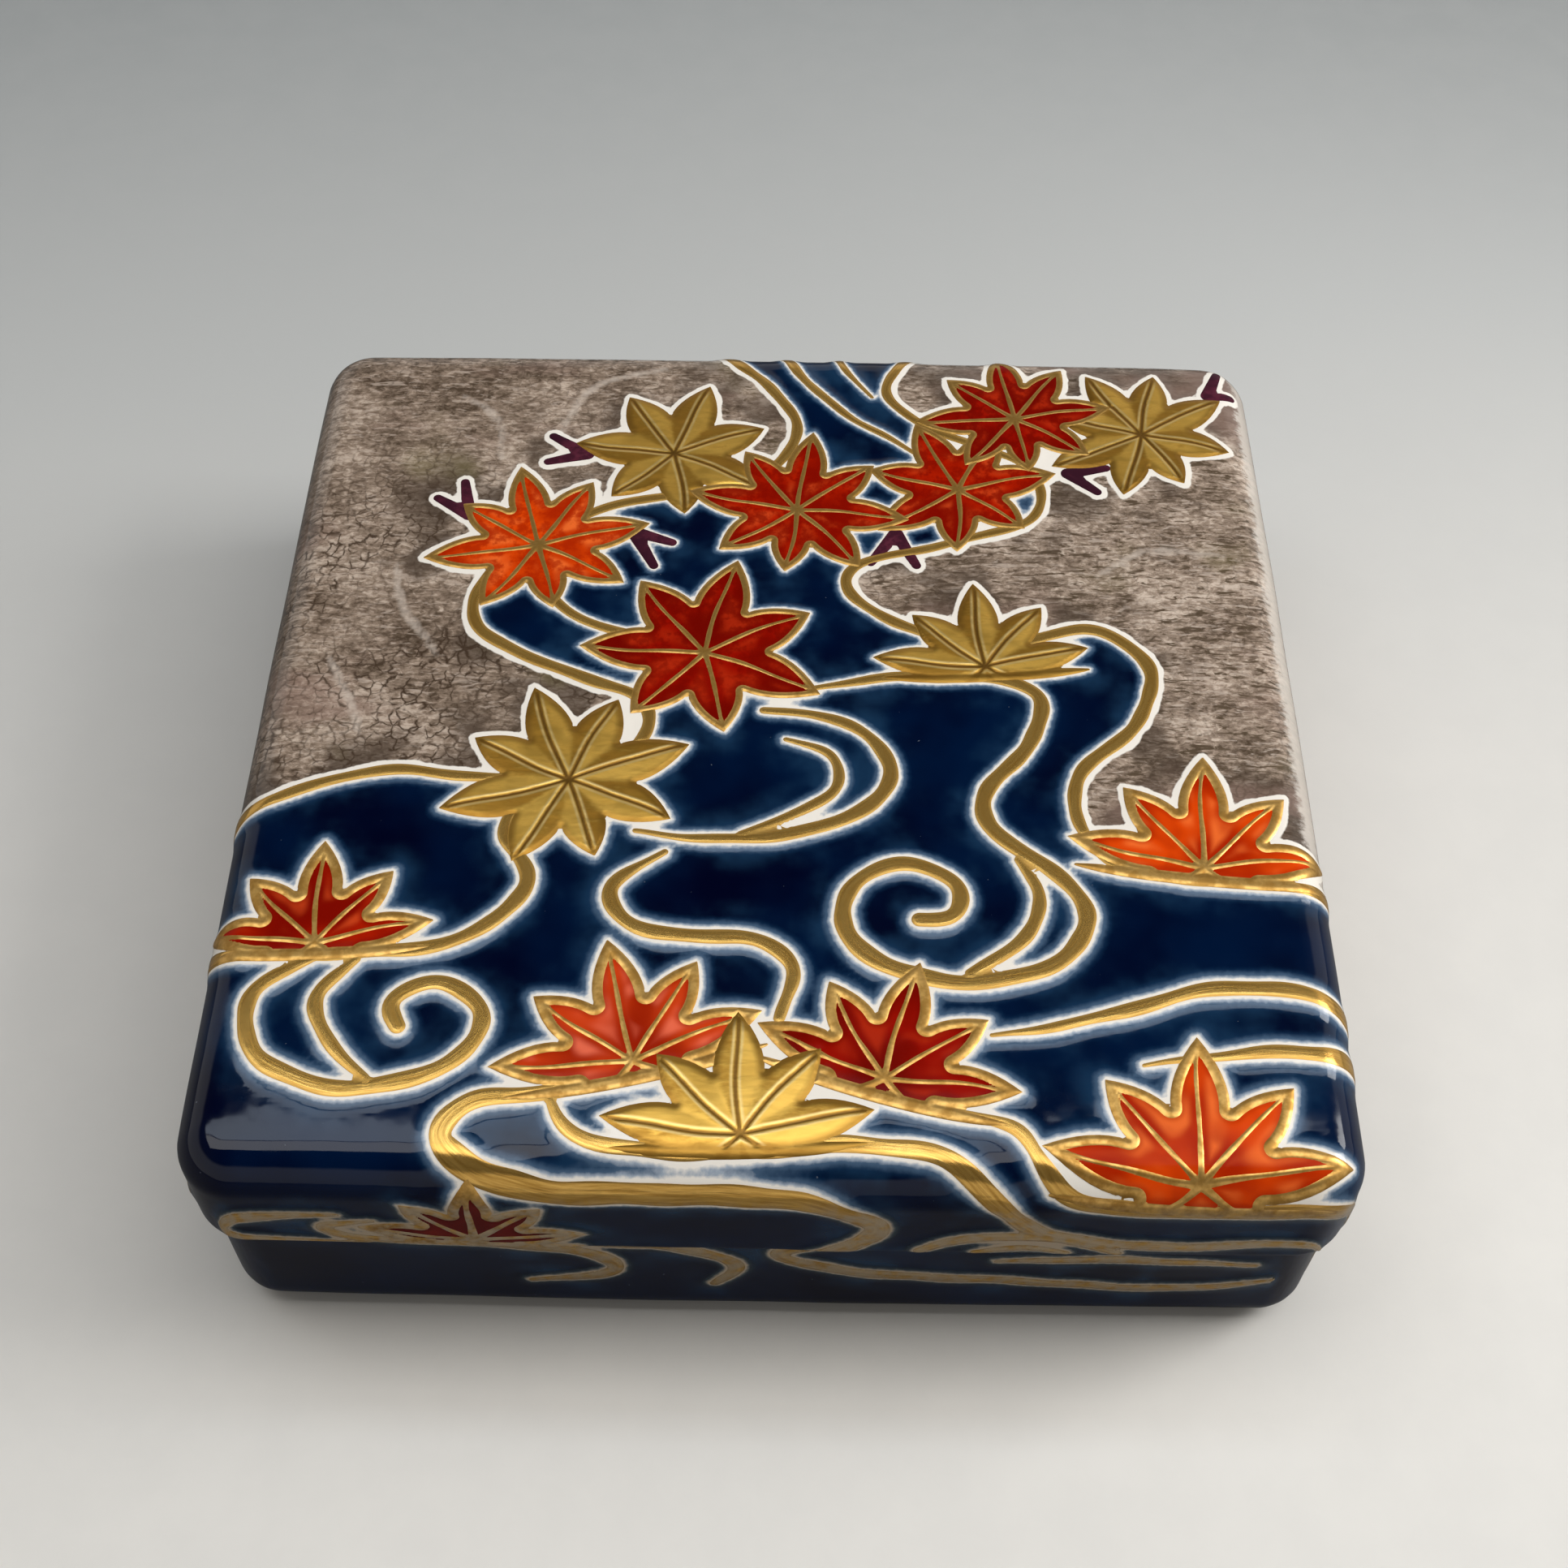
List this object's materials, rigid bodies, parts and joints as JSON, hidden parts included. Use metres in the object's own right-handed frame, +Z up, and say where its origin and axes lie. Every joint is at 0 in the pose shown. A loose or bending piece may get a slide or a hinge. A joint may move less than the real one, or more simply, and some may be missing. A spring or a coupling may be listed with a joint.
{
  "type": "incense box",
  "caption": "Flat square ceramic incense box: a shallow glazed tray with a raised inner flange, and a lift-off lid with a soft rounded top edge that fits over it.",
  "frame": {"origin": "centre of the flat foot ring's underside, on the surface that the box stands on", "axes": "+Z up through the lid, -Y towards the viewer in the picture, +X to the viewer's right"},
  "size_m": [0.07, 0.07, 0.0199],
  "materials": {
    "navy_glaze": "glossy deep navy glaze with pale blue speckle near the gold lines",
    "taupe_crackle_glaze": "satin warm grey glaze with a fine dark crackle",
    "gold_enamel": "raised satin gold with brush marks",
    "red_enamel": "glossy translucent red enamel, uneven in depth",
    "cream_slip": "matt cream slip",
    "bare_clay": "unglazed fine buff stoneware"
  },
  "bodies": {
    "base": {"base": "navy_glaze"},
    "lid": {"lid": "taupe_crackle_glaze"}
  },
  "joints": [
    {"name": "lid_lift", "type": "slide", "parent": "base", "child": "lid", "axis": [0, 0, 1], "range_m": [0, 0.03]}
  ]
}
